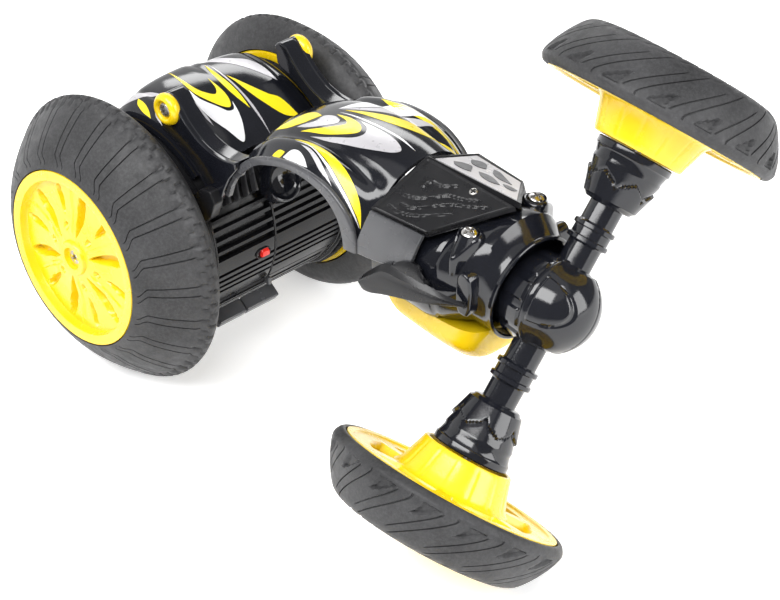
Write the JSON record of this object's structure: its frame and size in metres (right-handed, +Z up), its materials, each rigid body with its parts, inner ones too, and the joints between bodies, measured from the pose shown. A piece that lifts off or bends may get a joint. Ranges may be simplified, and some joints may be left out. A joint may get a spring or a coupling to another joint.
{
  "type": "radio control stunt car",
  "caption": "Radio control stunt car: ribbed drive drum between domed rear wheels, fork body with idler rollers, and a front axle that swivels on a ball neck, shown rolled to one side.",
  "frame": {"origin": "centre of the bounding box in X and Y, on the floor the tyres stand on", "axes": "+X forward towards the swivel axle, +Y to the car's left, +Z up"},
  "size_m": [0.2728, 0.1644, 0.1785],
  "materials": {
    "gloss_black": "moulded gloss black plastic",
    "matte_black": "satin black moulded plastic",
    "yellow": "moulded gloss yellow plastic",
    "tyre": "soft dark grey rubber, grooved",
    "steel": "zinc-plated steel",
    "chrome": "bright nickel-plated screw heads",
    "brass": "turned brass",
    "white_nylon": "natural nylon",
    "battery_sleeve": "shrink-sleeved battery cells",
    "board_green": "coated circuit board",
    "switch_red": "red moulded slider"
  },
  "bodies": {
    "chassis": {"nose_shell": "gloss_black", "hood": "matte_black", "front_fairing": "gloss_black", "belly_pan": "yellow", "side_frame_left": "gloss_black", "side_frame_right": "gloss_black", "side_fin_left": "matte_black", "side_fin_right": "matte_black", "nose_screw_left": "chrome", "nose_screw_right": "chrome", "roller_screw_left": "steel", "roller_screw_right": "steel"},
    "drive_unit": {"rear_fairing": "gloss_black", "battery_hatch": "gloss_black", "battery_pack": "battery_sleeve", "circuit_board": "board_green", "drum_shell_left": "gloss_black", "drum_shell_right": "gloss_black", "motor_left": "steel", "motor_right": "steel", "axle_bush_left": "brass", "axle_bush_right": "brass"},
    "power_switch": {"power_switch": "switch_red"},
    "front_axle": {"neck_barrel": "gloss_black", "ball_shell_front": "gloss_black", "front_axle_shaft": "steel", "neck_screw": "steel", "axle_arm_left": "gloss_black", "axle_arm_right": "gloss_black"},
    "rear_wheel_left": {"rear_tyre_left": "tyre", "rear_rim_left": "yellow", "rear_rim_cap_left": "yellow", "rear_hub_screw_left": "steel", "rear_axle_left": "steel", "axle_gear_left": "white_nylon"},
    "pinion_left": {"motor_pinion_left": "brass"},
    "front_wheel_left": {"front_tyre_left": "tyre", "front_rim_left": "yellow", "front_rim_cover_left": "yellow", "front_hub_screw_left": "steel"},
    "roller_left": {"roller_left": "yellow"},
    "rear_wheel_right": {"rear_tyre_right": "tyre", "rear_rim_right": "yellow", "rear_rim_cap_right": "yellow", "rear_hub_screw_right": "steel", "rear_axle_right": "steel", "axle_gear_right": "white_nylon"},
    "pinion_right": {"motor_pinion_right": "brass"},
    "front_wheel_right": {"front_tyre_right": "tyre", "front_rim_right": "yellow", "front_rim_cover_right": "yellow", "front_hub_screw_right": "steel"},
    "roller_right": {"roller_right": "yellow"}
  },
  "joints": [
    {"name": "body_tilt", "type": "hinge", "parent": "chassis", "child": "drive_unit", "pos_m": [-0.08141, 0, 0.055], "axis": [0, 1, 0], "range_deg": [-25, 25]},
    {"name": "front_axle_swivel", "type": "hinge", "parent": "chassis", "child": "front_axle", "pos_m": [0.09166, 0, 0.08925], "axis": [0.9995, 0, -0.0316], "continuous": true},
    {"name": "power_switch_slide", "type": "slide", "parent": "drive_unit", "child": "power_switch", "axis": [0, 1, 0], "range_m": [-0.002, 0]},
    {"name": "rear_wheel_spin_left", "type": "hinge", "parent": "drive_unit", "child": "rear_wheel_left", "pos_m": [-0.08141, 0, 0.055], "axis": [0, 1, 0], "continuous": true},
    {"name": "pinion_spin_left", "type": "hinge", "parent": "drive_unit", "child": "pinion_left", "pos_m": [-0.06618, 0, 0.04891], "axis": [0, 1, 0], "continuous": true},
    {"name": "front_wheel_spin_left", "type": "hinge", "parent": "front_axle", "child": "front_wheel_left", "pos_m": [0.09166, 0, 0.08925], "axis": [0.0244, 0.6361, 0.7712], "continuous": true},
    {"name": "roller_spin_left", "type": "hinge", "parent": "chassis", "child": "roller_left", "pos_m": [-0.06536, 0.0316, 0.11012], "axis": [0, 1, 0], "continuous": true},
    {"name": "rear_wheel_spin_right", "type": "hinge", "parent": "drive_unit", "child": "rear_wheel_right", "pos_m": [-0.08141, 0, 0.055], "axis": [0, 1, 0], "continuous": true},
    {"name": "pinion_spin_right", "type": "hinge", "parent": "drive_unit", "child": "pinion_right", "pos_m": [-0.06618, 0, 0.04891], "axis": [0, 1, 0], "continuous": true},
    {"name": "front_wheel_spin_right", "type": "hinge", "parent": "front_axle", "child": "front_wheel_right", "pos_m": [0.09166, 0, 0.08925], "axis": [0.0244, 0.6361, 0.7712], "continuous": true},
    {"name": "roller_spin_right", "type": "hinge", "parent": "chassis", "child": "roller_right", "pos_m": [-0.06536, -0.0316, 0.11012], "axis": [0, 1, 0], "continuous": true}
  ],
  "couplings": [
    {"joint": "pinion_spin_left", "follows": "rear_wheel_spin_left", "ratio": -3},
    {"joint": "pinion_spin_right", "follows": "rear_wheel_spin_right", "ratio": -3}
  ]
}
